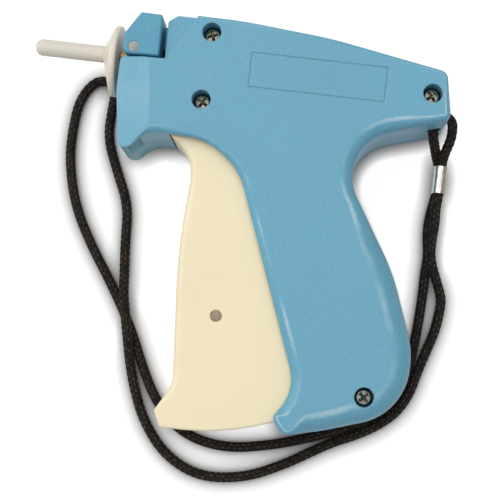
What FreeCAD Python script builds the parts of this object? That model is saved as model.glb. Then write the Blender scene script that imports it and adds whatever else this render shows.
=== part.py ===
import FreeCAD, Part
import math
import os
import re
from FreeCAD import Placement, Rotation, Vector

# Garment tag attacher, lying on its side.  Millimetres.
# The origin is on the lower face, under the trigger's pivot.  +X runs to the rear
# (the needle points along -X), +Y runs up the gun and +Z up through its thickness.

SIZES = {
    # housing: two halves that meet at the middle of the depth
    "depth": 26.0,              # outer thickness of the closed housing
    "wall": 2.4,                # wall round the outline
    "skin": 2.6,                # side faces
    "rooting": 0.6,             # bosses and rails start this deep in the side faces
    "seam_groove": 0.3,         # reveal where the halves meet
    "facet_x": -14.9,           # front facet starts here on the barrel line
    "facet_y": 1.0,
    "facet_slope": 22.0,        # degrees below the side face
    "facet_skew": 6.6,          # degrees off square to the barrel
    "step_drop": 3.0,           # side face beside the feed slot lies this much lower
    "step_edge_x": -7.3,        # middle of the slanted edge of that step
    "step_edge_y": 17.3,
    "step_edge_turn": 61.0,     # degrees of that edge above +X
    # engraved label frame
    "label_x": 12.4,
    "label_y": 4.9,
    "label_length": 38.3,
    "label_height": 10.1,
    "label_line": 0.35,
    "label_depth": 0.2,
    # housing screws
    "screw_a_x": 0.5, "screw_a_y": 19.4,
    "screw_c_x": 63.6, "screw_c_y": 9.1,
    "screw_d_x": 54.4, "screw_d_y": -76.2,
    "boss_radius": 3.6,
    "counterbore_radius": 2.7,
    "counterbore_depth": 6.0,
    "screw_head_radius": 2.45,
    "screw_head_height": 1.9,
    "screw_dome": 0.7,          # rounding of the head
    "screw_shank_radius": 1.15,
    "screw_gap": 0.1,           # round the shank in its pilot hole
    "screw_clear": 0.45,        # round the shank in the upper half
    "screw_tip": 4.2,           # tip of the screw above the lower face
    "pilot_spare": 1.2,         # pilot hole past the tip
    "recess_length": 3.2,
    "recess_width": 0.6,
    "recess_depth": 1.1,
    # barrel line
    "barrel_y": 12.8,
    "rod_radius": 0.65,
    "rod_gap": 0.05,
    "slider_half": 2.5,         # half the slider's height
    "slider_thick": 6.0,
    "slider_gap": 0.1,
    "cheek_thick": 1.1,
    "slider_nose": 14.0,        # pin to front end
    "slider_solid": 6.0,        # length of the solid front block
    "slider_tail": 5.0,         # pin to rear end
    "slider_pin_radius": 1.4,
    "rail_thick": 1.8,
    "rail_lip": 1.0,            # rail stands this far past the slider's side
    "deck_thick": 1.5,
    "buffer_gap": 0.5,
    "buffer_length": 2.6,
    "rail_spare": 0.8,          # rails end this far behind the buffer
    "stroke": 38.0,
    # feed slot and nose
    "feed_left": -17.0,
    "feed_right": -8.9,
    "feed_thick": 3.4,
    "guide_left": -8.7,         # bush for the push rod, and front end of the rails
    "guide_length": 2.0,
    "channel_low": -7.6,        # the slot goes down to the hollow over the notch
    "channel_over": 2.4,        # and ends this far above the needle line
    "notch_length": 4.6,        # where the runner of a strip of tags leaves, along the jaw
    "notch_height": 9.4,
    "notch_ramp": 20.0,         # slope of its floor, degrees
    "notch_back": 2.5,          # from the throat's corner
    "magazine_half": 3.6,       # half the depth of the feed guide
    "magazine_low": -7.2,
    "magazine_high": 8.0,
    "magazine_wall": 1.4,
    "magazine_back": 1.1,
    "magazine_foot": 1.6,
    "magazine_lap": 0.5,
    "stand_low": -7.0,
    "stand_height": 5.0,
    "stand_length": 6.0,
    "stand_inset": 0.4,
    "leaf_width": 2.8,
    "bracket_lap": 0.5,         # nose bracket inside the lock lever's outline
    "shelf_gap": 0.1,           # shelf behind the needle hub, to the upper half
    "shelf_low": 15.6,
    "needle_gap": 0.2,          # between the feed slot and the needle
    # needle and cap
    "needle_radius": 0.95,
    "needle_bore": 0.75,
    "needle_slit": 0.5,
    "needle_tip": -49.0,
    "needle_bevel": 4.0,
    "hub_left": -24.2,
    "hub_low": 10.8,
    "hub_high": 14.5,
    "hub_below": 5.0,           # hub below and above the needle line
    "hub_above": 1.9,
    "spigot_reach": 3.0,
    "spigot_gap": 0.05,
    "cap_ahead": 2.4,           # cap's end beyond the needle's point
    "cap_tube_radius": 2.42,
    "cap_bore_radius": 1.35,
    "cap_neck": -31.0,
    "flange_front": -28.2,
    "flange_back": -26.2,
    "flange_radius": 10.3,
    "flange_drop": 1.7,         # flange centre below the needle line
    "flange_round": 0.7,        # rounding of the rim
    "cap_round": 2.1,
    "cap_end": 1.2,
    "throat_radius": 3.0,
    "throat_start": 0.6,
    # needle lock lever
    "lock_pin_x": -21.1,
    "lock_pin_y": 13.2,
    "lock_pin_radius": 1.5,
    "lock_rise": 2.2,           # lever's foot above the needle line
    "lock_sink": 1.4,           # lever's top below the side face
    "lock_cap": 4.3,            # its thickness over the lug
    "lock_chamfer": 0.4,
    "lock_pin_sink": 0.4,
    "lug_radius": 3.0,
    "lug_gap": 0.3,
    # trigger
    "trigger_inset": 4.0,       # side of the trigger inside each face
    "trigger_wall": 2.2,
    "trigger_hub": 5.2,
    "hollow_x": 60.0,           # corners of the trigger's hollow that lie outside it
    "hollow_y": 12.0,
    "trigger_swing": 12.0,
    "trigger_clear": 0.5,
    "door_side": 0.4,           # opening past the beak
    "door_over": 7.0,           # opening above the nape
    "door_back": 3.7,           # opening behind the stern
    "door_rise": 6.8,
    "pivot_gap": 0.05,
    "trigger_reach": 91.3,      # bottom edge, from the pivot
    "trigger_pin_x": 11.5,
    "trigger_pin_y": -59.1,
    "trigger_pin_radius": 1.6,
    "trigger_pin_proud": 0.1,
    # drive lever and its bracket
    "fulcrum_x": 26.6,
    "fulcrum_y": -43.9,
    "fulcrum_radius": 1.5,
    "lever_swing": 37.0,
    "lever_thick": 3.0,
    "lever_width": 6.4,
    "lever_hub": 5.0,
    "slot_gap": 0.4,
    "fork_gap": 0.6,
    "fork_tine": 2.2,
    "fork_reach": 2.6,
    "bracket_half": 4.2,        # inner face of a bracket plate from mid-depth
    "bracket_sheet": 1.4,
    "axle_proud": 0.5,
    "post_a_x": 13.4, "post_a_y": 10.9,     # from the fulcrum
    "post_b_x": 19.4, "post_b_y": -2.1,
    "post_radius": 2.2,
    "peg_over": 0.4,
    "spring_wire": 0.7,
    "spring_radius": 2.9,
    "spring_pitch": 0.8,
    "spring_leg": 14.0,
    # feed wheel and pawl
    "wheel_x": -6.5,
    "wheel_y": 4.9,
    "wheel_radius": 3.0,
    "wheel_root": 2.35,
    "wheel_below": 5.8,         # wheel below and above mid-depth
    "wheel_above": 2.2,
    "wheel_play": 0.3,
    "axle_seat": 3.0,
    "wheel_axle_radius": 1.0,
    "axle_boss": 2.0,
    "pawl_x": 5.6,
    "pawl_y": 4.6,
    "pawl_width": 1.8,
    "pawl_below": 5.5,
    "pawl_thick": 2.0,
    "pawl_pin_radius": 0.9,
    "pawl_boss": 1.6,
    "pawl_tip": -3.1,
    "pawl_rise": 0.8,
    # lanyard
    "cord": 2.8,
    "cord_eye": 3.6,            # width of the windows in the rear corner
    "eye_depth": 6.0,
    "ring_gap_out": 0.3,        # round the bend of the cord inside the wall
    "ring_gap_in": 0.15,
    "eye_rear_y": 6.1,
    "eye_under_x": 66.0,
    "ferrule_x": 69.9,
    "ferrule_y": -11.2,
    "ferrule_length": 8.1,
    "ferrule_wall": 0.5,
    "ferrule_gap": 0.12,
    "ferrule_foot": 0.3,
}

# Outlines, one named corner after another: x, y, radius in plan, radius of its edge.
OUTLINES = {
    "housing": (
        ("crown", -24.7, 10.4, 1.2, 1.0),
        ("brow", -24.7, 1.0, 20.0, 1.0),
        ("chin", -22.0, -15.4, 1.8, 1.0),
        ("jaw", -18.8, -15.4, 3.0, 1.2),
        ("throat", -14.4, -10.2, 9.0, 2.0),
        ("arch", 3.2, -10.7, 17.0, 1.0),
        ("haunch", 13.1, -18.75, 18.5, 2.0),
        ("palm", 35.7, -76.6, 12.0, 3.0),
        ("heel", 30.3, -84.7, 1.6, 1.2),
        ("toe", 33.9, -89.1, 2.4, 1.2),
        ("sole", 43.5, -86.9, 50.0, 5.5),
        ("butt", 66.2, -79.3, 17.0, 6.0),
        ("back", 66.2, -61.6, 25.0, 6.0),
        ("spine", 58.3, -40.5, 60.0, 6.0),
        ("web", 37.3, -7.75, 12.9, 3.6),
        ("corner", 69.4, 2.7, 1.8, 1.6),
        ("rear", 67.0, 15.75, 2.6, 1.0),
        ("roof", 34.0, 21.5, 120.0, 1.0),
        ("ridge", 8.0, 23.75, 120.0, 1.0),
        ("lip", -9.9, 23.75, 0.8, 0.5),
        ("jamb", -12.4, 21.8, 0.8, 0.5),
        ("sill", -12.0, 10.4, 0.6, 0.5),
    ),
    "trigger": (
        ("beak", -7.6, -10.3, 0.4, 0.3),
        ("hook", -0.3, -16.2, 12.0, 1.8),
        ("belly", -1.5, -42.0, 150.0, 1.8),
        ("knuckle", 1.9, -79.0, 7.0, 1.8),
        ("claw", -2.2, -87.0, 0.8, 0.6),
        ("foot", 0.0, -91.3, 1.0, 0.6),
        ("keel", 17.1, -91.0, 70.0, 0.6),
        ("stern", 32.8, -85.3, 1.0, 0.5),
        ("rump", 37.7, -76.8, 12.0, 0.5),
        ("nape", 12.9, -13.0, 8.0, 0.5),
        ("crest", 5.0, 1.4, 0.0, 0.5),
        ("poll", -5.0, 1.4, 0.0, 0.3),
    ),
    "lock": (
        ("heel", -24.1, 11.2, 1.6, 0.0),
        ("face", -24.1, 16.9, 0.6, 0.6),
        ("brow", -20.2, 23.3, 0.6, 0.6),
        ("crown", -13.95, 23.2, 0.8, 0.6),
        ("root", -13.7, 11.2, 0.6, 0.0),
    ),
    # from the fulcrum
    "bracket": (
        ("nose", -5.0, -0.6, 4.0, 0.0),
        ("chin", 0.4, -5.5, 4.0, 0.0),
        ("base", 21.8, -6.7, 2.5, 0.0),
        ("back", 23.0, -0.1, 0.8, 0.0),
        ("hip", 23.0, 5.9, 0.8, 0.0),
        ("head", 17.4, 15.3, 3.0, 0.0),
        ("brow", 10.8, 15.1, 3.0, 0.0),
    ),
    # from the back of the feed slot and the top of the feed guide's foot
    "leaf": (
        ("heel", 0.1, 0.0, 0.0, 0.0),
        ("toe", 1.1, 0.0, 0.0, 0.0),
        ("shin", 1.1, 1.0, 0.0, 0.0),
        ("bend", 0.7, 1.2, 0.0, 0.0),
        ("tip", -0.3, 6.2, 0.0, 0.0),
        ("hook", -0.7, 6.1, 0.0, 0.0),
        ("crook", 0.1, 1.4, 0.0, 0.0),
    ),
}

# Lanyard routes: points chosen by hand, with the height of the cord's middle.
SHORT_LOOP = (
    (69.9, -10.6, 5.36), (69.9, -6.2, 5.36), (71.4, -2.9, 8.4), (73.0, 1.0, 10.7),
    (71.9, 6.1, 13.0), (66.0, 6.1, 13.0), (65.9, -0.1, 13.0), (66.8, -2.0, 8.5),
    (68.2, -3.7, 4.1), (69.9, -6.3, 2.32), (69.9, -10.8, 2.32),
)
LONG_LOOP = (
    (69.9, -11.8, 5.36), (69.9, -16.8, 5.3), (69.5, -25.2, 4.8), (70.3, -33.6, 4.7),
    (72.9, -40.3, 2.9), (74.7, -47.7, 1.5), (73.9, -55.6, 1.5), (71.7, -63.4, 1.5),
    (70.2, -71.0, 1.5), (65.9, -79.4, 1.5), (57.4, -86.6, 1.5), (46.6, -91.5, 1.5),
    (36.4, -97.4, 1.5), (24.3, -103.4, 1.5), (11.1, -104.9, 1.5), (0.3, -99.9, 1.5),
    (-7.1, -90.9, 1.5), (-11.2, -81.4, 1.5), (-13.2, -74.6, 2.3), (-14.4, -68.4, 4.2),
    (-16.0, -61.4, 4.7), (-17.5, -55.3, 3.9), (-18.3, -49.4, 2.0), (-19.4, -40.2, 1.5),
    (-20.0, -28.9, 1.5), (-25.0, -18.5, 1.5), (-28.9, -9.2, 1.5), (-28.7, -0.4, 1.5),
    (-28.3, 5.3, 1.5), (-30.4, 7.6, 1.5), (-35.0, 7.3, 1.5), (-38.9, 1.0, 1.5),
    (-39.7, -8.0, 1.5), (-39.4, -17.4, 1.5), (-35.9, -30.4, 1.5), (-29.6, -41.6, 1.5),
    (-21.4, -53.2, 1.5), (-14.3, -64.8, 1.5), (-9.4, -75.6, 1.5), (-4.3, -84.8, 1.5),
    (4.2, -93.1, 1.5), (16.9, -95.9, 1.5), (30.6, -93.8, 1.5), (43.6, -89.4, 1.5),
    (55.1, -84.2, 1.5), (63.7, -77.8, 1.5), (67.4, -67.8, 1.5), (68.6, -55.9, 1.5),
    (69.3, -43.4, 1.5), (69.5, -32.4, 1.5), (69.5, -22.9, 1.6), (69.9, -16.8, 2.3),
    (69.9, -11.8, 2.32),
)

doc = FreeCAD.newDocument("TagAttacher")
sheet = doc.addObject("Spreadsheet::Sheet", "Sizes")
row = 0
for alias, number in SIZES.items():
    row += 1
    sheet.set("A%d" % row, alias)
    sheet.set("B%d" % row, str(number))
    sheet.setAlias("B%d" % row, alias)
for outline_name, corners in OUTLINES.items():
    for corner in corners:
        for part_name, number in zip(("x", "y", "round", "edge"), corner[1:]):
            row += 1
            alias = "_".join((outline_name, corner[0], part_name))
            sheet.set("A%d" % row, alias)
            sheet.set("B%d" % row, str(number))
            sheet.setAlias("B%d" % row, alias)
doc.recompute()


class Sheet:
    """Reads a named size from the spreadsheet as a number."""

    def __getattr__(self, name):
        return float(getattr(sheet, name))


s = Sheet()
nodes = []


# ---------------------------------------------------------------- helpers

def bind(item, **settings):
    """Bind properties to expressions of the sheet's names."""
    for key, text in settings.items():
        path = "Placement.Base." + key if key in ("x", "y", "z") else key
        if text != "0":
            item.setExpression(path, re.sub(r"[a-z]\w*", lambda m: "Sizes." + m.group(0), text))
    return item


def cylinder(radius, height, x="0", y="0", z="0", along=None):
    item = doc.addObject("Part::Cylinder", "Cylinder")
    bind(item, Radius=radius, Height=height, x=x, y=y, z=z)
    if along == "x":
        item.Placement.Rotation = Rotation(Vector(0, 1, 0), 90)
    return item


def box(length, width, height, x="0", y="0", z="0", turn=None):
    item = doc.addObject("Part::Box", "Box")
    bind(item, Length=length, Width=width, Height=height, x=x, y=y, z=z)
    if turn:
        item.Placement.Rotation = turn
    return item


def fuse(*items):
    item = doc.addObject("Part::MultiFuse", "Fusion")
    item.Shapes = list(items)
    return item


def cut(base, *tools):
    item = doc.addObject("Part::Cut", "Cut")
    item.Base = base
    item.Tool = tools[0] if len(tools) == 1 else fuse(*tools)
    return item


def common(base, tool):
    item = doc.addObject("Part::Common", "Common")
    item.Base = base
    item.Tool = tool
    return item


def node(name, item):
    """Give the finished sub-part the name of its file."""
    item.Label = name
    nodes.append(item)
    return item


def corners_of(outline_name, from_x=0.0, from_y=0.0):
    """Corners of an outline as the sheet holds them: x, y, plan radius, edge radius."""
    rows = []
    for corner in OUTLINES[outline_name]:
        stem = outline_name + "_" + corner[0] + "_"
        x, y, plan_radius, edge_radius = [getattr(s, stem + part) for part in ("x", "y", "round", "edge")]
        rows.append((from_x + x, from_y + y, plan_radius, edge_radius))
    return rows


def rounded(corners):
    """Lines and tangent arcs round a polygon.

    Each corner (x, y, radius, ...) becomes an arc that touches both sides.  The answer
    lists (geometry, first corner, second corner); an arc has the same corner twice.
    """
    count = len(corners)
    points = [Vector(c[0], c[1], 0) for c in corners]
    entry, leave, middle = [], [], []
    for i in range(count):
        back = (points[i - 1] - points[i]).normalize()
        ahead = (points[(i + 1) % count] - points[i]).normalize()
        half = back.getAngle(ahead) / 2
        radius = corners[i][2]
        reach = radius / math.tan(half)
        bisector = (back + ahead).normalize()
        entry.append(points[i] + back * reach)
        leave.append(points[i] + ahead * reach)
        middle.append(points[i] + bisector * (radius / math.sin(half) - radius))
    pieces = []
    for i in range(count):
        if corners[i][2] > 0:
            pieces.append((Part.Arc(entry[i], middle[i], leave[i]), i, i))
        after = (i + 1) % count
        pieces.append((Part.LineSegment(leave[i], entry[after]), i, after))
    return pieces


def padded(geometry, bottom, height):
    """A body padded from a closed sketch that lies `bottom` above the table."""
    body = doc.addObject("PartDesign::Body", "Body")
    sketch = body.newObject("Sketcher::SketchObject", "Sketch")
    plane = [f for f in body.Origin.OriginFeatures if f.Role == "XY_Plane"][0]
    sketch.AttachmentSupport = [(plane, "")]
    sketch.MapMode = "FlatFace"
    bind(sketch, **{"AttachmentOffset.Base.z": bottom})
    for piece in geometry:
        sketch.addGeometry(piece, False)
    pad = body.newObject("PartDesign::Pad", "Pad")
    pad.Profile = sketch
    bind(pad, Length=height)
    sketch.Visibility = False
    return body


def plate(corners, bottom, height):
    return padded([piece[0] for piece in rounded(corners)], bottom, height)


def arc_slot(path, half_width, bottom, height):
    """A body over the ground that a pin covers while it moves along three points."""
    circle = Part.Arc(*[Vector(p[0], p[1], 0) for p in path]).toShape().Curve
    centre = circle.Center
    angles = [math.atan2(p[1] - centre.y, p[0] - centre.x) for p in path]
    for i in (1, 2):
        while angles[i] - angles[i - 1] > math.pi:
            angles[i] -= 2 * math.pi
        while angles[i] - angles[i - 1] < -math.pi:
            angles[i] += 2 * math.pi
    outward = 1 if angles[2] > angles[0] else -1

    def at(radius, angle):
        return centre + Vector(math.cos(angle), math.sin(angle), 0) * radius

    outer, inner = circle.Radius + half_width, circle.Radius - half_width
    over = half_width / circle.Radius
    ends = [at(circle.Radius, angles[0] - outward * over), at(circle.Radius, angles[2] + outward * over)]
    first, half, last = angles
    edges = [
        Part.Arc(at(outer, first), at(outer, half), at(outer, last)),
        Part.Arc(at(outer, last), ends[1], at(inner, last)),
        Part.Arc(at(inner, last), at(inner, half), at(inner, first)),
        Part.Arc(at(inner, first), ends[0], at(outer, first)),
    ]
    return padded(edges, bottom, height)


def turned(x, y, degrees):
    a = math.radians(degrees)
    return x * math.cos(a) - y * math.sin(a), x * math.sin(a) + y * math.cos(a)


def own_shape(name, shape):
    """A sub-part whose shape comes from Part's own functions."""
    item = doc.addObject("Part::Feature", "Shape")
    item.Shape = shape
    return node(name, item)


# ---------------------------------------------------------------- motion of the linkage

def trigger_pin_at(share):
    return turned(s.trigger_pin_x, s.trigger_pin_y, s.trigger_swing * share)


def in_lever(x, y, share):
    """Where a point is seen from the drive lever, which has turned by this share."""
    dx, dy = turned(x - s.fulcrum_x, y - s.fulcrum_y, -s.lever_swing * share)
    return s.fulcrum_x + dx, s.fulcrum_y + dy


SLIDER_PIN = "fulcrum_x + stroke / 2"

# ---------------------------------------------------------------- places worked out from the sizes

FLOOR = "(skin - rooting)"
CAP_TIP = "(needle_tip - cap_ahead)"
TRIGGER_THICK = "(depth - 2 * trigger_inset)"
BRACKET_TOP = "(depth / 2 - hub_below)"
BRACKET_INNER = "(depth / 2 - bracket_half)"
LOCK_LOW = "(depth / 2 + lock_rise)"
LOCK_TOP = "(depth - lock_sink)"
LOCK_CHEEK = "(depth - lock_sink - lock_cap)"
WHEEL_LOW = "(depth / 2 - wheel_below)"
WHEEL_HIGH = "(depth / 2 + wheel_above)"
PAWL_LOW = "(depth / 2 - pawl_below)"

# ---------------------------------------------------------------- housing form

housing_corners = corners_of("housing")
housing_path = rounded(housing_corners)


def edge_radii(shape, corners, path, level):
    """Edge number and both end radii of every outline edge that lies above a level."""
    rows = []
    for number, edge in enumerate(shape.Edges, 1):
        ends = [edge.valueAt(edge.FirstParameter), edge.valueAt(edge.LastParameter)]
        middle = edge.valueAt((edge.FirstParameter + edge.LastParameter) / 2)
        flat = [Vector(p.x, p.y, 0) for p in ends]
        if (flat[0] - flat[1]).Length < 0.001 or min(p.z for p in ends) < level:
            continue
        for geometry, first, second in path:
            if geometry.toShape().distToShape(Part.Vertex(middle.x, middle.y, 0))[0] > 0.01:
                continue
            span = (geometry.EndPoint - geometry.StartPoint).Length
            low, high = corners[first][3], corners[second][3]
            share = [(p - geometry.StartPoint).Length / span for p in flat]
            rows.append((number, low + (high - low) * share[0], low + (high - low) * share[1]))
            break
    return rows


def softened(base, corners, path, level):
    """The base with its outline edges rounded by the radii that the corners name."""
    doc.recompute()
    item = doc.addObject("Part::Fillet", "Softened")
    item.Base = base
    item.Edges = edge_radii(base.Shape, corners, path, level)
    return item


def placed(item, origin, rotation, offset=Vector(0, 0, 0)):
    """Put a primitive where its own offset point turns about an origin."""
    item.Placement = Placement(origin, rotation) * Placement(offset, Rotation())
    return item


Z = Vector(0, 0, 1)
blank = plate(housing_corners, "depth / 2", "depth / 2")
rounded_half = softened(blank, housing_corners, housing_path, s.depth * 0.75)
facet = placed(
    box("2 * depth", "3 * depth", "depth"), Vector(s.facet_x, s.facet_y, s.depth),
    Rotation(Z, 180 + s.facet_skew) * Rotation(Vector(0, 1, 0), s.facet_slope), Vector(0, -1.5 * s.depth, 0))
step_rise = math.tan(math.radians(s.step_edge_turn))
step_foot = s.step_edge_x - (s.step_edge_y - s.housing_sill_y) / step_rise
over_top = s.housing_ridge_y + 4 * s.wall
past_nose = s.housing_crown_x - 2 * s.wall
step_head = s.step_edge_x + (over_top - s.step_edge_y) / step_rise
step = plate(
    [(step_foot, s.housing_sill_y, 0), (step_head, over_top, 0), (past_nose, over_top, 0),
     (past_nose, s.housing_sill_y, 0)],
    "depth - step_drop", "step_drop + 1")
upper_form = cut(rounded_half, facet, step)
lower_form = doc.addObject("Part::Mirroring", "LowerForm")
lower_form.Source = upper_form
lower_form.Normal = Z
bind(lower_form, **{"Base.z": "depth / 2"})

outline = doc.addObject("Sketcher::SketchObject", "HousingOutline")
for piece in housing_path:
    outline.addGeometry(piece[0], False)


def inset(amount, bottom, height):
    """The housing outline drawn in by an amount and raised to a solid."""
    smaller = doc.addObject("Part::Offset2D", "Inset")
    smaller.Source = outline
    smaller.Fill = False
    bind(smaller, Value=amount)
    item = doc.addObject("Part::Extrusion", "InsetSolid")
    item.Base = smaller
    item.DirMode = "Custom"
    item.Dir = Z
    item.Solid = True
    bind(item, LengthFwd=height, z=bottom)
    return item


# Under the facet and the step the hollow keeps its distance too.
facet_inner = placed(
    box("2 * depth", "3 * depth", "depth"), Vector(s.facet_x, s.facet_y, s.depth - s.skin),
    Rotation(Z, 180 + s.facet_skew) * Rotation(Vector(0, 1, 0), s.facet_slope), Vector(0, -1.5 * s.depth, 0))
step_inner = plate(
    [(step_foot + s.wall, s.housing_sill_y - s.wall, 0), (step_head + s.wall, over_top, 0),
     (past_nose, over_top, 0), (past_nose, s.housing_sill_y - s.wall, 0)],
    "depth - step_drop - skin", "step_drop + 1")
upper_limit = fuse(facet_inner, step_inner)
lower_limit = doc.addObject("Part::Mirroring", "LowerLimit")
lower_limit.Source = upper_limit
lower_limit.Normal = Z
bind(lower_limit, **{"Base.z": "depth / 2"})
cavity = cut(inset("-wall", "skin", "depth - 2 * skin"), upper_limit, lower_limit)
left_end, right_end = [pick(c[0] for c in housing_corners) for pick in (min, max)]
low_end, high_end = [pick(c[1] for c in housing_corners) for pick in (min, max)]
seam = cut(
    plate([(left_end - s.wall, low_end - s.wall, 0), (right_end + s.wall, low_end - s.wall, 0),
           (right_end + s.wall, high_end + s.wall, 0), (left_end - s.wall, high_end + s.wall, 0)],
          "depth / 2 - seam_groove / 2", "seam_groove"),
    inset("-seam_groove", "depth / 2 - seam_groove", "2 * seam_groove"))
door_front = s.trigger_beak_x - s.door_side
door_high = s.trigger_nape_y + s.door_over
trigger_door = common(
    plate([(door_front, door_high, 0), (door_front, s.trigger_hook_y - s.wall, 0),
           (-s.trigger_reach, -s.trigger_reach, 0), (0, -2 * s.trigger_reach, 0),
           (s.trigger_stern_x + s.door_back, s.trigger_keel_y + 1, 0),
           (s.trigger_rump_x + s.door_side, s.trigger_rump_y + s.door_rise, 0),
           (s.trigger_nape_x + s.door_side, door_high, 0)], "skin", "depth - 2 * skin"),
    cylinder("trigger_reach + 3 * trigger_clear", "depth"))
feed_channel = box(
    "feed_right - feed_left", "barrel_y + channel_over - channel_low", "feed_thick",
    "feed_left", "channel_low", "depth / 2 - feed_thick / 2")
jaw = Vector(s.housing_jaw_x, s.housing_jaw_y, 0)
throat = Vector(s.housing_throat_x, s.housing_throat_y, 0)
along_jaw = (throat - jaw).normalize()
runner_notch = placed(
    box("notch_length", "2 * wall", "notch_height"),
    throat - along_jaw * (s.notch_back + s.notch_length) + Vector(0, 0, s.depth / 2),
    Rotation(Vector(1, 0, 0), along_jaw) * Rotation(Vector(1, 0, 0), -s.notch_ramp), Vector(0, -2 * s.wall, 0))

# Windows in the rear corner, joined inside the wall by a quarter ring for the cord.
EYE_Z = "depth / 2 - cord_eye / 2"
BEND_X = "eye_under_x + cord"
BEND_Y = "eye_rear_y - cord"
quarter = cylinder("1.5 * cord + ring_gap_out", "cord_eye", BEND_X, BEND_Y, EYE_Z)
quarter.Angle = 90
quarter.Placement.Rotation = Rotation(Z, 90)
eye = cut(
    fuse(
        box("eye_depth", "cord_eye", "cord_eye", BEND_X, "eye_rear_y - cord_eye / 2", EYE_Z),
        box("cord_eye", "eye_depth", "cord_eye", "eye_under_x - cord_eye / 2", BEND_Y + " - eye_depth", EYE_Z),
        quarter),
    cylinder("0.5 * cord - ring_gap_in", "cord_eye", BEND_X, BEND_Y, EYE_Z))

# ---------------------------------------------------------------- inside of the halves

SCREWS = (("screw_a_x", "screw_a_y", "boss_radius"), ("0", "0", "boss_radius"),
          ("screw_c_x", "screw_c_y", "boss_radius - 0.3"), ("screw_d_x", "screw_d_y", "boss_radius"))
POSTS = (("fulcrum_x + post_a_x", "fulcrum_y + post_a_y"), ("fulcrum_x + post_b_x", "fulcrum_y + post_b_y"))
low_bosses = [cylinder(r, "depth / 2 - " + FLOOR, x, y, FLOOR) for x, y, r in SCREWS]
high_bosses = [cylinder(r, "depth / 2 - " + FLOOR, x, y, "depth / 2") for x, y, r in SCREWS]
POST = BRACKET_INNER + " - bracket_sheet - " + FLOOR
PEG = BRACKET_INNER + " + peg_over - " + FLOOR
low_posts = [cylinder("post_radius", POST, x, y, FLOOR) for x, y in POSTS]
low_pegs = [cylinder("post_radius / 2", PEG, x, y, FLOOR) for x, y in POSTS]
high_posts = [
    cylinder("post_radius", POST, x, y, "depth / 2 + bracket_half + bracket_sheet") for x, y in POSTS]
high_pegs = [cylinder("post_radius / 2", PEG, x, y, "depth / 2 + bracket_half - peg_over") for x, y in POSTS]

RAIL = SLIDER_PIN + " + slider_tail + buffer_gap + buffer_length + rail_spare - guide_left"
RAIL_LOW = "barrel_y - slider_half - slider_gap"
RAIL_HIGH = "barrel_y + slider_half + slider_gap"
DECK = "slider_thick / 2 + slider_gap"
RAIL_TALL = "depth / 2 - slider_thick / 2 + rail_lip - " + FLOOR
RAIL_UPPER = "depth / 2 + slider_thick / 2 - rail_lip"
low_rails = [
    box(RAIL, "rail_thick", RAIL_TALL, "guide_left", RAIL_LOW + " - rail_thick", FLOOR),
    box(RAIL, "rail_thick", RAIL_TALL, "guide_left", RAIL_HIGH, FLOOR),
    box(RAIL, "2 * (slider_half + rail_thick)", "deck_thick", "guide_left", RAIL_LOW + " - rail_thick",
        "depth / 2 - (" + DECK + ") - deck_thick")]
high_rails = [
    box(RAIL, "rail_thick", RAIL_TALL, "guide_left", RAIL_LOW + " - rail_thick", RAIL_UPPER),
    box(RAIL, "rail_thick", RAIL_TALL, "guide_left", RAIL_HIGH, RAIL_UPPER),
    box(RAIL, "2 * (slider_half + rail_thick)", "deck_thick", "guide_left", RAIL_LOW + " - rail_thick",
        "depth / 2 + " + DECK)]

feed_stands = [
    box("stand_length", "stand_height", "depth / 2 - magazine_half - " + FLOOR, "feed_left + stand_inset",
        "stand_low", level)
    for level in (FLOOR, "depth / 2 + magazine_half")]
AXLE_HOLE = "wheel_play + axle_seat"
low_wheel_boss = cylinder("axle_boss", WHEEL_LOW + " - wheel_play - " + FLOOR, "wheel_x", "wheel_y", FLOOR)
high_wheel_boss = cylinder(
    "axle_boss", "depth - " + FLOOR + " - " + WHEEL_HIGH + " - wheel_play", "wheel_x", "wheel_y",
    WHEEL_HIGH + " + wheel_play")
pawl_stand = cylinder("pawl_boss", PAWL_LOW + " - wheel_play - " + FLOOR, "pawl_x", "pawl_y", FLOOR)

# Bracket, shelf and lug that carry the needle and close the gap under its lock lever.
bracket_back = s.housing_sill_x + 2 * s.bracket_lap
bracket_low = s.hub_low - 2.4 * s.bracket_lap
bracket_front = s.lock_face_x + s.bracket_lap
bracket_high = s.lock_brow_y - 2 * s.bracket_lap
nose_bracket = plate(
    [(bracket_front, bracket_low, 0), (bracket_front, s.lock_face_y, s.lock_pin_radius),
     (s.lock_brow_x, bracket_high, s.lock_pin_radius), (bracket_back, bracket_high, 0),
     (bracket_back, bracket_low, 0)],
    "step_drop", BRACKET_TOP + " - step_drop")
shelf = box(
    "housing_jamb_x - 2 * shelf_gap - feed_left", "lock_brow_y - 2 * bracket_lap - shelf_low",
    "hub_below + hub_above", "feed_left + shelf_gap", "shelf_low", BRACKET_TOP)
lug = cut(
    cylinder("lug_radius", LOCK_CHEEK + " - lug_gap - " + BRACKET_TOP,
             "lock_pin_x", "lock_pin_y", BRACKET_TOP),
    box("4 * lug_radius", "4 * lug_radius", "hub_below + lock_rise + 0.1", "lock_pin_x - 2 * lug_radius",
        "hub_high + 0.2 - 4 * lug_radius", BRACKET_TOP),
    box("4 * lug_radius", "4 * lug_radius", "depth", "lock_pin_x - 2 * lug_radius", "hub_low - 4 * lug_radius",
        BRACKET_TOP))

# ---------------------------------------------------------------- left half (upper)

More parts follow.
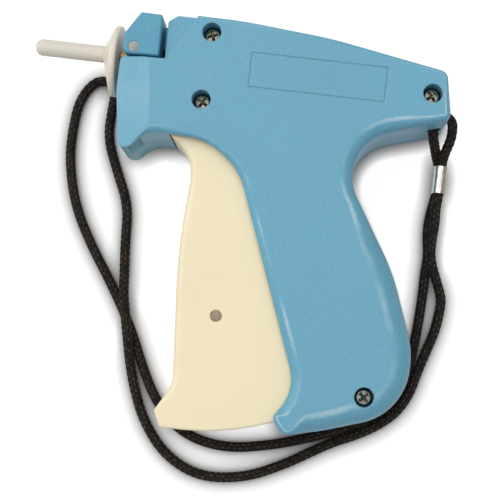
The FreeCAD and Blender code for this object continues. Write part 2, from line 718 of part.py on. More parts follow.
hollow_high = cut(upper_form, cavity, trigger_door, seam)
left_solid = fuse(hollow_high, *(high_bosses + high_posts + high_pegs + high_rails + [
    feed_stands[1], high_wheel_boss]))
label = cut(
    box("label_length", "label_height", "1", "label_x", "label_y", "depth - label_depth"),
    box("label_length - 2 * label_line", "label_height - 2 * label_line", "1", "label_x + label_line",
        "label_y + label_line", "depth - label_depth"))
high_holes = []
for x, y, r in SCREWS:
    high_holes.append(cylinder("counterbore_radius", "depth", x, y, "depth - counterbore_depth"))
    high_holes.append(cylinder("screw_shank_radius + screw_clear", "depth", x, y, "0"))
high_holes.append(cylinder("wheel_axle_radius", AXLE_HOLE, "wheel_x", "wheel_y", WHEEL_HIGH))
left_shell = node("left_shell", cut(
    left_solid, label, eye, feed_channel, runner_notch, *high_holes))

# ---------------------------------------------------------------- right half (lower)

hollow_low = cut(lower_form, cavity, trigger_door, seam)
right_solid = fuse(hollow_low, *(low_bosses + low_posts + low_pegs + low_rails + [
    feed_stands[0], low_wheel_boss, pawl_stand, nose_bracket, shelf, lug]))
low_holes = [
    cylinder("screw_shank_radius + screw_gap", "depth / 2 - screw_tip + pilot_spare", x, y,
             "screw_tip - pilot_spare")
    for x, y, r in SCREWS]
low_holes.append(cylinder(
    "wheel_axle_radius", AXLE_HOLE, "wheel_x", "wheel_y", WHEEL_LOW + " - (" + AXLE_HOLE + ")"))
low_holes.append(cylinder(
    "pawl_pin_radius", AXLE_HOLE, "pawl_x", "pawl_y", PAWL_LOW + " - (" + AXLE_HOLE + ")"))
low_holes.append(cylinder(
    "lock_pin_radius", "depth", "lock_pin_x", "lock_pin_y", LOCK_LOW + " + lock_pin_sink"))
right_shell = node("right_shell", cut(right_solid, eye, feed_channel, *low_holes))

# ---------------------------------------------------------------- screws


def screw(x, y):
    seat = "depth - counterbore_depth"
    head = cylinder("screw_head_radius", "screw_head_height", x, y, seat)
    dome = doc.addObject("Part::Fillet", "Dome")
    doc.recompute()
    dome.Base = head
    level = s.depth - s.counterbore_depth + s.screw_head_height / 2
    top = [n for n, e in enumerate(head.Shape.Edges, 1) if e.CenterOfMass.z > level and e.Closed]
    dome.Edges = [(n, s.screw_dome, s.screw_dome) for n in top]
    slots = [
        box("recess_length", "recess_width", "recess_depth", x + " - recess_length / 2",
            y + " - recess_width / 2", seat + " + screw_head_height - recess_depth"),
        box("recess_width", "recess_length", "recess_depth", x + " - recess_width / 2",
            y + " - recess_length / 2", seat + " + screw_head_height - recess_depth")]
    shank = cylinder("screw_shank_radius", seat + " - screw_tip", x, y, "screw_tip")
    return fuse(cut(dome, *slots), shank)


node("housing_screws", fuse(*[screw(x, y) for x, y, r in SCREWS]))

# ---------------------------------------------------------------- trigger and its pin

trigger_corners = corners_of("trigger")
trigger_path = rounded(trigger_corners)
trigger_blank = plate(trigger_corners, "trigger_inset", TRIGGER_THICK)
half_way = s.depth / 2


def lower_and_upper(shape, corners, path):
    """Radii for the outline edges of both faces."""
    rows = edge_radii(shape, corners, path, half_way)
    flipped = shape.mirror(Vector(0, 0, half_way), Z)
    for number, first, second in edge_radii(flipped, corners, path, half_way):
        rows.append((number, first, second))
    return rows


doc.recompute()
trigger_soft = doc.addObject("Part::Fillet", "TriggerSoft")
trigger_soft.Base = trigger_blank
trigger_soft.Edges = lower_and_upper(trigger_blank.Shape, trigger_corners, trigger_path)

# The hollow follows the front and the foot; its other sides lie outside the trigger.
front = trigger_corners[:7]
keel, stern = trigger_corners[6], trigger_corners[7]
beyond = (2 * stern[0] - keel[0], 2 * stern[1] - keel[1], 0)
hollow_outline = doc.addObject("Sketcher::SketchObject", "TriggerHollow")
outside = [beyond, (s.hollow_x, s.hollow_y, 0), (-s.hollow_y, s.hollow_y, 0)]
for piece in rounded([c[:3] for c in front] + outside):
    hollow_outline.addGeometry(piece[0], False)
hollow_inset = doc.addObject("Part::Offset2D", "TriggerInset")
hollow_inset.Source = hollow_outline
hollow_inset.Fill = False
bind(hollow_inset, Value="-trigger_wall")
hollow = doc.addObject("Part::Extrusion", "TriggerHollowSolid")
hollow.Base = hollow_inset
hollow.DirMode = "Custom"
hollow.Dir = Z
hollow.Solid = True
bind(hollow, LengthFwd=TRIGGER_THICK + " - 2 * trigger_wall", z="trigger_inset + trigger_wall")
trigger_hubs = cylinder("trigger_hub", TRIGGER_THICK, "0", "0", "trigger_inset")
node("trigger", cut(
    fuse(trigger_soft, trigger_hubs), hollow,
    cylinder("trigger_hub + 0.01", TRIGGER_THICK + " - 2 * trigger_wall", "0", "0",
             "trigger_inset + trigger_wall"),
    cylinder("boss_radius + pivot_gap", "depth"),
    cylinder("trigger_pin_radius", "depth", "trigger_pin_x", "trigger_pin_y")))
node("trigger_pin", cylinder(
    "trigger_pin_radius", TRIGGER_THICK + " + 2 * trigger_pin_proud", "trigger_pin_x", "trigger_pin_y",
    "trigger_inset - trigger_pin_proud"))

# ---------------------------------------------------------------- drive lever, bracket, axle

LEVER_Z = "depth / 2 - lever_thick / 2"
pin_path = [in_lever(*(trigger_pin_at(share) + (share,))) for share in (0.0, 0.5, 1.0)]
reach = s.barrel_y - s.fulcrum_y
fork_angle = math.degrees(math.atan2(reach, s.stroke / 2))
fork_far = math.hypot(reach, s.stroke / 2)
turn_up = Rotation(Z, fork_angle)
root_angle = math.degrees(math.atan2(pin_path[2][1] - s.fulcrum_y, pin_path[2][0] - s.fulcrum_x))
fulcrum = Vector(s.fulcrum_x, s.fulcrum_y, s.depth / 2 - s.lever_thick / 2)
fork_half = s.slider_pin_radius + s.fork_gap + s.fork_tine
tail_half = s.trigger_pin_radius + s.slot_gap + s.fork_tine
head_start = reach - s.slider_pin_radius - 2 * s.fork_gap - s.fork_tine
arm = placed(
    box(str(fork_far), "lever_width", "lever_thick"), fulcrum, turn_up, Vector(0, -s.lever_width / 2, 0))
head = placed(
    box(str(fork_far + s.fork_reach - head_start), str(2 * fork_half), "lever_thick"), fulcrum, turn_up,
    Vector(head_start, -fork_half, 0))
root = placed(box("2 * lever_hub", str(2 * tail_half), "lever_thick"), fulcrum, Rotation(Z, root_angle),
              Vector(0, -tail_half, 0))
tail = arc_slot(pin_path, tail_half, LEVER_Z, "lever_thick")
fork_slot = placed(
    box("20", "2 * (slider_pin_radius + fork_gap)", "lever_thick"), fulcrum, turn_up,
    Vector(reach - s.slider_pin_radius - 2 * s.fork_gap, -s.slider_pin_radius - s.fork_gap, 0))
tail_slot = arc_slot(pin_path, s.trigger_pin_radius + s.slot_gap, LEVER_Z, "lever_thick")
node("drive_lever", cut(
    fuse(arm, head, root, tail, cylinder("lever_hub", "lever_thick", "fulcrum_x", "fulcrum_y", LEVER_Z)),
    fork_slot, tail_slot,
    cylinder("fulcrum_radius + pivot_gap", "depth", "fulcrum_x", "fulcrum_y")))
node("fulcrum_axle", cylinder(
    "fulcrum_radius", "2 * (bracket_half + bracket_sheet + axle_proud)", "fulcrum_x", "fulcrum_y",
    "depth / 2 - bracket_half - bracket_sheet - axle_proud"))

sheet_outline = corners_of("bracket", s.fulcrum_x, s.fulcrum_y)
bracket_plates = [
    plate(sheet_outline, BRACKET_INNER + " - bracket_sheet", "bracket_sheet"),
    plate(sheet_outline, "depth / 2 + bracket_half", "bracket_sheet")]
bracket_web = box(
    "bracket_sheet", "bracket_hip_y - bracket_back_y", "2 * bracket_half",
    "fulcrum_x + bracket_back_x - bracket_sheet", "fulcrum_y + bracket_back_y", BRACKET_INNER)
node("lever_bracket", cut(
    fuse(*(bracket_plates + [bracket_web])),
    cylinder("fulcrum_radius", "depth", "fulcrum_x", "fulcrum_y"),
    *[cylinder("post_radius / 2", "depth", x, y) for x, y in POSTS]))

# Torsion spring: a straight leg, one and a half turns, a straight leg.
def spring_points():
    radius = s.spring_radius
    level = s.depth / 2 + s.lever_thick / 2 + s.spring_wire
    start = math.radians(-90)
    points = [Vector(s.post_b_x * share, -radius, 0) for share in (1.0, 0.7, 0.4, 0.15)]
    steps = 24
    rise = s.spring_pitch * 1.5
    for i in range(steps + 1):
        share = i / steps
        angle = start - share * math.radians(540)
        points.append(Vector(radius * math.cos(angle), radius * math.sin(angle), rise * share))
    for share in (0.2, 0.6, 1.0):
        points.append(Vector(s.spring_leg * share, radius, rise))
    return [Vector(s.fulcrum_x, s.fulcrum_y, level) + p for p in points]


curve = Part.BSplineCurve()
curve.interpolate(spring_points())
spine = Part.Wire([curve.toShape()])
ring = Part.Wire([Part.Circle(spine.Edges[0].valueAt(spine.Edges[0].FirstParameter), Vector(1, 0, 0),
                              s.spring_wire / 2).toShape()])
own_shape("return_spring", spine.makePipeShell([ring], True, False))

# ---------------------------------------------------------------- slider, pin, push rod

TAIL_Y = "barrel_y - slider_half"
SIDE_Z = "depth / 2 - slider_thick / 2"
NOSE_X = SLIDER_PIN + " - slider_nose"
slider_block = box("slider_solid", "2 * slider_half", "slider_thick", NOSE_X, TAIL_Y, SIDE_Z)
cheeks = [
    box("slider_nose + slider_tail", "2 * slider_half", "cheek_thick", NOSE_X, TAIL_Y, SIDE_Z),
    box("slider_nose + slider_tail", "2 * slider_half", "cheek_thick", NOSE_X, TAIL_Y,
        "depth / 2 + slider_thick / 2 - cheek_thick")]
ROD_SEAT = "slider_solid / 2"
rod_hole = cylinder("rod_radius", ROD_SEAT, NOSE_X, "barrel_y", "depth / 2", "x")
node("slider", cut(
    fuse(slider_block, *cheeks), rod_hole, cylinder("slider_pin_radius", "depth", SLIDER_PIN, "barrel_y")))
node("slider_pin", cylinder("slider_pin_radius", "slider_thick", SLIDER_PIN, "barrel_y", SIDE_Z))
node("push_rod", cylinder(
    "rod_radius", NOSE_X + " + " + ROD_SEAT + " - guide_left", "guide_left", "barrel_y", "depth / 2", "x"))
guide_block = box(
    "guide_length", "2 * (slider_half + slider_gap)", "2 * (" + DECK + ")", "guide_left", RAIL_LOW,
    "depth / 2 - (" + DECK + ")")
node("rod_guide", cut(
    guide_block, cylinder("rod_radius + rod_gap", "guide_length", "guide_left", "barrel_y", "depth / 2", "x")))
node("slider_buffer", box(
    "buffer_length", "2 * (slider_half + slider_gap)", "2 * (" + DECK + ")",
    SLIDER_PIN + " + slider_tail + buffer_gap",
    RAIL_LOW, "depth / 2 - (" + DECK + ")"))

# ---------------------------------------------------------------- feed

magazine = box(
    "feed_right - feed_left + magazine_wall + magazine_back", "magazine_high - magazine_low",
    "2 * magazine_half", "feed_left - magazine_wall", "magazine_low", "depth / 2 - magazine_half")
magazine_slot = box(
    "feed_right - feed_left", "magazine_high - magazine_low + 2 * magazine_wall", "feed_thick", "feed_left",
    "magazine_low - magazine_wall", "depth / 2 - feed_thick / 2")
magazine_open = box(
    "magazine_back + 2 * magazine_lap", "magazine_high - magazine_low", "2 * magazine_half",
    "feed_right - magazine_lap", "magazine_low + magazine_foot", "depth / 2 - magazine_half")
node("feed_guide", cut(
    magazine, magazine_slot, magazine_open,
    cylinder("wheel_radius + wheel_play", "depth", "wheel_x", "wheel_y")))
leaf = corners_of("leaf", s.feed_right, s.magazine_low + s.magazine_foot)
node("anti_reverse_spring", plate(leaf, "depth / 2 - leaf_width / 2", "leaf_width"))
tooth = ((-9.0, s.wheel_root), (-3.5, s.wheel_radius), (3.5, s.wheel_radius), (9.0, s.wheel_root))
teeth = []
for i in range(12):
    for offset, radius in tooth:
        angle = math.radians(30 * i + offset)
        teeth.append((s.wheel_x + radius * math.cos(angle), s.wheel_y + radius * math.sin(angle), 0))
node("feed_wheel", cut(
    plate(teeth, WHEEL_LOW, "wheel_below + wheel_above"),
    cylinder("wheel_axle_radius + pivot_gap", "depth", "wheel_x", "wheel_y")))
node("feed_wheel_axle", cylinder(
    "wheel_axle_radius", "wheel_below + wheel_above + 2 * (" + AXLE_HOLE + ")", "wheel_x", "wheel_y",
    WHEEL_LOW + " - (" + AXLE_HOLE + ")"))
pawl_arm = placed(
    box("pawl_x - pawl_tip", "pawl_width", "pawl_thick"),
    Vector(s.pawl_x, s.pawl_y, s.depth / 2 - s.pawl_below),
    Rotation(Z, 180 - math.degrees(math.atan2(s.pawl_rise, s.pawl_x - s.pawl_tip))),
    Vector(0, -s.pawl_width / 2, 0))
node("feed_pawl", cut(
    fuse(pawl_arm, cylinder("pawl_boss + 0.2", "pawl_thick", "pawl_x", "pawl_y", PAWL_LOW)),
    cylinder("pawl_pin_radius + pivot_gap", "depth", "pawl_x", "pawl_y")))
node("pawl_pin", cylinder(
    "pawl_pin_radius", "pawl_thick + wheel_play + " + AXLE_HOLE, "pawl_x", "pawl_y",
    PAWL_LOW + " - (" + AXLE_HOLE + ")"))
node("cutter_blade", box("4.2", "0.5", "3", "feed_left", "hub_low - 0.3", BRACKET_TOP))

# ---------------------------------------------------------------- needle, hub, cap

tube = cylinder(
    "needle_radius", "feed_left - needle_gap - needle_tip", "needle_tip", "barrel_y", "depth / 2", "x")
THROUGH = "feed_left - needle_tip + 2"
bore = cylinder("needle_bore", THROUGH, "needle_tip - 1", "barrel_y", "depth / 2", "x")
slit = box(
    THROUGH, "needle_slit", "2 * needle_radius", "needle_tip - 1", "barrel_y - needle_slit / 2", "depth / 2")
bevel = placed(
    box("10", "6", "6"), Vector(s.needle_tip, s.barrel_y, s.depth / 2 - s.needle_radius),
    Rotation(Vector(0, 1, 0), -math.degrees(math.atan2(2 * s.needle_radius, s.needle_bevel))),
    Vector(-2, -3, 0))
node("needle", cut(tube, bore, slit, bevel))
hub = box("feed_left - needle_gap - hub_left", "hub_high - hub_low", "hub_above + hub_below", "hub_left",
          "hub_low", BRACKET_TOP)
spigot = cylinder(
    "cap_bore_radius - spigot_gap", "hub_left - cap_neck + spigot_reach", "cap_neck - spigot_reach",
    "barrel_y", "depth / 2", "x")
node("needle_hub", cut(
    fuse(hub, spigot), cylinder("needle_radius", THROUGH, "needle_tip", "barrel_y", "depth / 2", "x"),
    cylinder("lock_pin_radius + 0.1", "depth", "lock_pin_x", "lock_pin_y", "depth / 2 + hub_above - 0.01")))


def disc_edge(radius, x, y):
    """A circle square to the needle line, as a section for lofting."""
    item = doc.addObject("Part::Circle", "Section")
    item.Placement.Rotation = Rotation(Vector(0, 1, 0), 90)
    bind(item, Radius=radius, x=x, y=y, z="depth / 2")
    return item


def loft(*sections):
    item = doc.addObject("Part::Loft", "Flare")
    item.Sections = list(sections)
    item.Solid = True
    item.Ruled = True
    return item


cap_tube = cylinder("cap_tube_radius", "flange_front - " + CAP_TIP, CAP_TIP, "barrel_y", "depth / 2", "x")
doc.recompute()
cap_round = doc.addObject("Part::Fillet", "CapTip")
cap_round.Base = cap_tube
cap_round.Edges = [(n, s.cap_round, s.cap_round) for n, e in enumerate(cap_tube.Shape.Edges, 1)
                   if e.Closed and e.CenterOfMass.x < s.needle_tip]
flare = loft(
    disc_edge("cap_tube_radius", "cap_neck", "barrel_y"),
    disc_edge("flange_radius - flange_round", "flange_front", "barrel_y - flange_drop"))
flange = cylinder(
    "flange_radius", "flange_back - flange_front", "flange_front", "barrel_y - flange_drop", "depth / 2", "x")
doc.recompute()
rim = doc.addObject("Part::Fillet", "Rim")
rim.Base = flange
rim.Edges = [(n, s.flange_round, s.flange_round) for n, e in enumerate(flange.Shape.Edges, 1) if e.Closed]
cap_bore = cylinder(
    "cap_bore_radius", "flange_back - cap_end - " + CAP_TIP, CAP_TIP + " + cap_end",
    "barrel_y", "depth / 2", "x")
throat = loft(
    disc_edge("cap_bore_radius", "cap_neck + throat_start", "barrel_y"),
    disc_edge("throat_radius", "flange_back", "barrel_y - flange_drop"))
node("needle_cap", cut(fuse(cap_round, flare, rim), cap_bore, throat))

# ---------------------------------------------------------------- needle lock lever

lock_corners = corners_of("lock")
lock_blank = plate(lock_corners, LOCK_LOW, LOCK_TOP + " - " + LOCK_LOW)
doc.recompute()
lock_soft = doc.addObject("Part::Chamfer", "LockSoft")
lock_soft.Base = lock_blank
lock_top_edges = [
    n for n, e in enumerate(lock_blank.Shape.Edges, 1)
    if min(v.Z for v in e.Vertexes) > s.depth - s.lock_sink - 0.01]
lock_soft.Edges = [(n, s.lock_chamfer, s.lock_chamfer) for n in lock_top_edges]
node("needle_lock_lever", cut(
    lock_soft,
    cylinder("lug_radius + lug_gap", LOCK_CHEEK + " - " + LOCK_LOW, "lock_pin_x", "lock_pin_y", LOCK_LOW),
    cylinder("lock_pin_radius + pivot_gap", "depth", "lock_pin_x", "lock_pin_y")))
node("lock_lever_pin", cylinder(
    "lock_pin_radius", LOCK_TOP + " - " + LOCK_LOW + " - lock_pin_sink", "lock_pin_x", "lock_pin_y",
    LOCK_LOW + " + lock_pin_sink"))

# ---------------------------------------------------------------- lanyard


def tangent_route(points):
    """Straight runs joined by arcs that touch both of them.

    Every arc takes 0.45 of the shorter neighbouring run on each side of its corner.
    Returns the edges and the list of arc radii.
    """
    corners = [Vector(*p) for p in points]
    edges = []
    radii = []
    last = corners[0]
    for before, corner, after in zip(corners, corners[1:], corners[2:]):
        back = before - corner
        ahead = after - corner
        cut_back = 0.45 * min(back.Length, ahead.Length)
        back.normalize()
        ahead.normalize()
        half_turn = (math.pi - back.getAngle(ahead)) / 2
        radius = cut_back / math.tan(half_turn)
        centre_way = (back + ahead).normalize()
        middle = corner + centre_way * (radius / math.cos(half_turn) - radius)
        entry = corner + back * cut_back
        leave = corner + ahead * cut_back
        edges.append(Part.LineSegment(last, entry).toShape())
        edges.append(Part.Arc(entry, middle, leave).toShape())
        radii.append(radius)
        last = leave
    edges.append(Part.LineSegment(last, corners[-1]).toShape())
    return edges, radii


def cord(name, points):
    edges, radii = tangent_route(points)
    route = Part.Wire(edges)
    start = Vector(*points[0])
    along = Vector(*points[1]) - start
    disc = Part.Face(Part.Wire([Part.Circle(start, along, s.cord / 2).toShape()]))
    tube_shape = route.makePipe(disc)
    expected = math.pi * s.cord ** 2 / 4 * route.Length
    print("%s: %.1f mm long, volume %.4f of section times length" % (
        name, route.Length, tube_shape.Volume / expected))
    print("  radii mm: " + " ".join("%.1f" % r for r in radii))
    return own_shape(name, tube_shape)


cord("lanyard_short_loop", SHORT_LOOP)
cord("lanyard_long_loop", LONG_LOOP)


def oblong(half_width, straight, length):
    """A flat-sided tube section: two strands one above the other."""
    mouth = "ferrule_y - ferrule_length / 2"
    low = cylinder(half_width, length, "ferrule_x", mouth, FERRULE_Z + " - " + straight)
    high = cylinder(half_width, length, "ferrule_x", mouth, FERRULE_Z + " + " + straight)
    for item in (low, high):
        item.Placement.Rotation = Rotation(Vector(1, 0, 0), -90)
    middle = box("2 * (" + half_width + ")", length, "2 * " + straight,
                 "ferrule_x - (" + half_width + ")", mouth, FERRULE_Z + " - " + straight)
    return fuse(low, high, middle)


STRAND = "(cord / 2 + ferrule_gap)"
FERRULE_Z = "ferrule_foot + ferrule_wall + 2 * " + STRAND
ferrule = cut(
    oblong("cord / 2 + ferrule_gap + ferrule_wall", STRAND, "ferrule_length"),
    oblong("cord / 2 + ferrule_gap", STRAND, "ferrule_length"))
node("lanyard_ferrule", ferrule)

# ---------------------------------------------------------------- check and write

doc.recompute()
faults = []
for item in doc.Objects:
    if "Invalid" in item.State or "Error" in item.State:
        faults.append("%s (%s): %s" % (item.Name, item.Label, item.State))
for item in nodes:
    if item.Shape.isNull() or not item.Shape.isValid() or not item.Shape.Solids:
        faults.append("%s: null or invalid shape" % item.Label)
if faults:
    raise SystemExit("\n".join(faults))
os.makedirs("parts", exist_ok=True)
for item in nodes:
    item.Shape.exportStep("parts/%s.step" % item.Label)
    extent = item.Shape.BoundBox
    print("%-22s %2d solid %9.1f mm3  x %.1f..%.1f  y %.1f..%.1f  z %.1f..%.1f" % (
        item.Label, len(item.Shape.Solids), item.Shape.Volume, extent.XMin, extent.XMax, extent.YMin,
        extent.YMax, extent.ZMin, extent.ZMax))
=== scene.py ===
import math

import bpy
import numpy as np
from mathutils import Matrix, Vector


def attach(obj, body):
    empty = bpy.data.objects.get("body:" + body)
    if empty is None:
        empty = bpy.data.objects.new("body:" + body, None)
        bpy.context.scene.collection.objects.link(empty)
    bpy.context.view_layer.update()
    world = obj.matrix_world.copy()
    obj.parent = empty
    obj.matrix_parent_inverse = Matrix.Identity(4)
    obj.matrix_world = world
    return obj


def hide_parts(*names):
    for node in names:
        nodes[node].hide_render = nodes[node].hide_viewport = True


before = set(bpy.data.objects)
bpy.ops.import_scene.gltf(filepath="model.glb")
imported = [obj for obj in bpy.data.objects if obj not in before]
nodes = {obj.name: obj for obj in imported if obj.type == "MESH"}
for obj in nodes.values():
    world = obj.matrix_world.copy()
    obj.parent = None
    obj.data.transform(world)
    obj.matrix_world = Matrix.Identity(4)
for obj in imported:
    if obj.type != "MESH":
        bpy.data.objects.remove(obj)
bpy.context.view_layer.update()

# ---------------------------------------------------------------- camera
# The tool lies on its right side on a counter and is seen from 0.35 m above, a little
# from the grip's end.  The view's upright leans by a few degrees from the tool's own.

eye = Vector((0.0368, -0.0750, 0.3610))
aim = Vector((0.0181, -0.0389, 0.0130))
lean = math.radians(7.2)
lens = 88.6                     # mm
sensor = 36                     # mm

backward = (eye - aim).normalized()
rightward = Vector((-math.sin(lean), math.cos(lean), 0)).cross(backward).normalized()
upward = backward.cross(rightward)
camera = bpy.data.objects.new("camera", bpy.data.cameras.new("camera"))
camera.data.lens = lens
camera.data.sensor_width = sensor
camera.data.clip_start = 0.01
camera.data.clip_end = 20
camera.matrix_world = Matrix((
    (rightward.x, upward.x, backward.x, eye.x),
    (rightward.y, upward.y, backward.y, eye.y),
    (rightward.z, upward.z, backward.z, eye.z),
    (0, 0, 0, 1)))
bpy.context.scene.collection.objects.link(camera)
bpy.context.scene.camera = camera
bpy.context.scene.view_settings.view_transform = "Standard"

# ---------------------------------------------------------------- lanyard cord
# Braided polyester cord, near black with brown fibres, 2.8 mm thick.  Two lengths of it:
# a short loop through the eye in the rear corner, and the long loop for the wrist, both
# held in the crimped ferrule.

cord_thick = 0.0028
braid_columns = 8               # columns of stitches round the cord
column_points = 4               # points across a column
stitch = 0.00170                # length of one stitch
stitch_points = 6               # rows of points along a stitch
stitch_relief = 0.00026
stitch_middle = 0.6             # share of the relief that is inside the cord's own radius
stitch_lean = 0.55              # how much of its length a stitch leans over its column
short_route = (
    (69.9, -10.6, 5.36), (70.0, -6.6, 5.36), (70.3, -3.6, 8.0), (71.6, 0.6, 10.7),
    (71.1, 5.7, 12.8), (66.0, 6.1, 13.0), (65.9, -0.1, 13.0), (67.2, -2.4, 8.9),
    (68.3, -4.4, 4.6), (69.6, -6.6, 2.32), (69.9, -10.8, 2.32),
)
long_route = (
    (69.9, -11.8, 5.36), (70.1, -15.6, 5.2), (69.8, -19.2, 4.4), (70.1, -24.0, 3.9),
    (69.6, -29.5, 4.2), (69.9, -34.6, 4.4), (72.2, -40.0, 3.7), (74.4, -44.6, 1.7),
    (74.6, -47.6, 1.5), (73.8, -54.6, 1.5), (71.8, -61.0, 1.5), (69.9, -67.3, 1.5),
    (68.4, -73.8, 1.5), (65.1, -79.7, 1.5), (59.9, -84.1, 1.5), (54.4, -87.3, 1.5),
    (48.0, -90.2, 1.5), (41.9, -93.9, 1.5), (35.4, -98.0, 1.5),
    (24.3, -103.4, 1.5), (11.1, -104.9, 1.5), (0.3, -99.9, 1.5),
    (-7.1, -90.9, 1.5), (-11.2, -81.4, 1.5), (-13.2, -74.6, 2.3), (-14.4, -68.4, 4.2),
    (-16.0, -61.4, 4.7), (-17.5, -55.3, 3.9), (-18.3, -49.4, 2.0), (-19.4, -40.2, 1.5),
    (-20.0, -28.9, 1.5), (-25.0, -18.5, 1.5), (-28.9, -9.2, 1.5), (-28.7, -0.4, 1.5),
    (-28.3, 5.3, 1.5), (-30.4, 7.6, 1.5), (-35.0, 7.3, 1.5), (-38.9, 1.0, 1.5),
    (-39.7, -8.0, 1.5), (-39.4, -17.4, 1.5), (-35.9, -30.4, 1.5), (-29.6, -41.6, 1.5),
    (-21.4, -53.2, 1.5), (-14.3, -64.8, 1.5), (-9.4, -75.6, 1.5), (-4.3, -84.8, 1.5),
    (4.2, -93.1, 1.5), (16.9, -95.9, 1.5), (30.6, -93.3, 1.5), (43.0, -89.2, 1.5),
    (54.6, -84.2, 1.5), (63.3, -78.0, 1.5), (67.3, -67.8, 1.5), (68.6, -55.9, 1.5),
    (69.1, -44.5, 1.5), (69.0, -38.5, 1.5), (69.4, -32.8, 1.5), (68.3, -26.5, 1.5),
    (68.6, -20.8, 1.5), (69.4, -16.6, 2.1), (69.9, -11.8, 2.32),
)


def spline_line(route_mm, smoothness=24):
    """The smooth line of an open NURBS spline whose control points are the route's points."""
    data = bpy.data.curves.new("route", "CURVE")
    data.dimensions = "3D"
    spline = data.splines.new("NURBS")
    spline.points.add(len(route_mm) - 1)
    for point, (x, y, z) in zip(spline.points, route_mm):
        point.co = (x / 1000, y / 1000, z / 1000, 1)
    spline.order_u = 3
    spline.use_endpoint_u = True
    spline.resolution_u = smoothness
    holder = bpy.data.objects.new("route", data)
    line = bpy.data.meshes.new_from_object(holder)
    points = np.empty(len(line.vertices) * 3)
    line.vertices.foreach_get("co", points)
    bpy.data.objects.remove(holder)
    bpy.data.meshes.remove(line)
    return points.reshape(-1, 3)


def evenly(line, step):
    """Points at equal steps along a line, worked out from its running length."""
    run = np.concatenate(([0.0], np.cumsum(np.linalg.norm(np.diff(line, axis=0), axis=1))))
    count = max(2, int(round(run[-1] / step)) + 1)
    at = np.linspace(0, run[-1], count)
    return np.stack([np.interp(at, run, line[:, i]) for i in range(3)], axis=1), at


def frames_along(line):
    """Two directions square to the line at each point, carried along it without twist.

    Each step takes the last direction and leaves out its part along the line.
    """
    tangent = np.gradient(line, axis=0)
    tangent /= np.linalg.norm(tangent, axis=1)[:, None]
    first = np.empty_like(tangent)
    start = np.array((0.0, 0.0, 1.0))
    if abs(tangent[0] @ start) > 0.9:
        start = np.array((1.0, 0.0, 0.0))
    side = start - tangent[0] * (tangent[0] @ start)
    for i, along in enumerate(tangent):
        side = side - along * (along @ side)
        side = side / np.linalg.norm(side)
        first[i] = side
    return first, np.cross(tangent, first)


def surface(name, grid, ring=False):
    """A smooth mesh from a grid of points: rows along the piece, columns round it.

    Neighbouring rows and columns are joined by quads, and the last column to the first.
    In a ring the last row is joined to the first too.  Otherwise the two end rows are
    closed with a fan about their middle.
    """
    rows, columns = grid.shape[:2]
    points = grid.reshape(-1, 3)
    index = np.arange(rows * columns).reshape(rows, columns)
    lower = index if ring else index[:-1]
    upper = np.roll(index, -1, axis=0) if ring else index[1:]
    quads = np.stack([lower, np.roll(lower, -1, 1), np.roll(upper, -1, 1), upper], axis=-1)
    faces = [tuple(q) for q in quads.reshape(-1, 4).tolist()]
    if not ring:
        start, end = index[0].tolist(), index[-1].tolist()
        first, last = len(points), len(points) + 1
        points = np.concatenate([points, np.stack([grid[0].mean(axis=0), grid[-1].mean(axis=0)])])
        faces += [(first, b, a) for a, b in zip(start, start[1:] + start[:1])]
        faces += [(last, a, b) for a, b in zip(end, end[1:] + end[:1])]
    mesh = bpy.data.meshes.new(name)
    mesh.from_pydata(points.tolist(), [], faces)
    mesh.polygons.foreach_set("use_smooth", [True] * len(mesh.polygons))
    mesh.update()
    piece = bpy.data.objects.new(name, mesh)
    bpy.context.scene.collection.objects.link(piece)
    return piece


def braided(name, route_mm):
    """A braided cord along a route.

    The radius at distance s and angle a is the cord's own, a little more on the crest of
    each stitch and a little less between them.  Stitches stand in columns round the cord,
    and those of neighbouring columns slant against each other, which gives the
    herringbone.  A crest is a rounded cosine along the stitch times one across it.
    """
    line, at = evenly(spline_line(route_mm), stitch / stitch_points)
    first, second = frames_along(line)
    turns = np.arange(braid_columns * column_points) / (braid_columns * column_points)
    column = turns * braid_columns
    side = np.where(np.floor(column) % 2 == 0, 1.0, -1.0)
    across = column % 1 - 0.5
    along = at[:, None] / stitch + side * stitch_lean * across + 0.5 * (side > 0)
    crest = np.abs(np.cos(math.pi * (along % 1 - 0.5))) ** 0.7
    crest = crest * np.cos(math.pi * across * 0.86) ** 0.8
    radius = cord_thick / 2 + stitch_relief * (crest - stitch_middle)
    angle = 2 * math.pi * turns
    ring = first[:, None] * np.cos(angle)[:, None] + second[:, None] * np.sin(angle)[:, None]
    piece = surface(name, line[:, None] + ring * radius[..., None])
    mesh = piece.data
    height = mesh.attributes.new("crest", "FLOAT", "POINT")
    values = np.zeros(len(mesh.vertices))
    values[:crest.size] = crest.ravel()
    height.data.foreach_set("value", values)
    unrolled = mesh.attributes.new("unrolled", "FLOAT_VECTOR", "POINT")
    places = np.zeros((len(mesh.vertices), 3))
    places[:crest.size, 0] = np.repeat(at, len(turns))
    places[:crest.size, 1] = np.tile(np.abs(turns - 0.5) * cord_thick * math.pi, len(at))
    places[:crest.size, 2] = np.tile(side, len(at))
    unrolled.data.foreach_set("vector", places.ravel())
    return piece, line


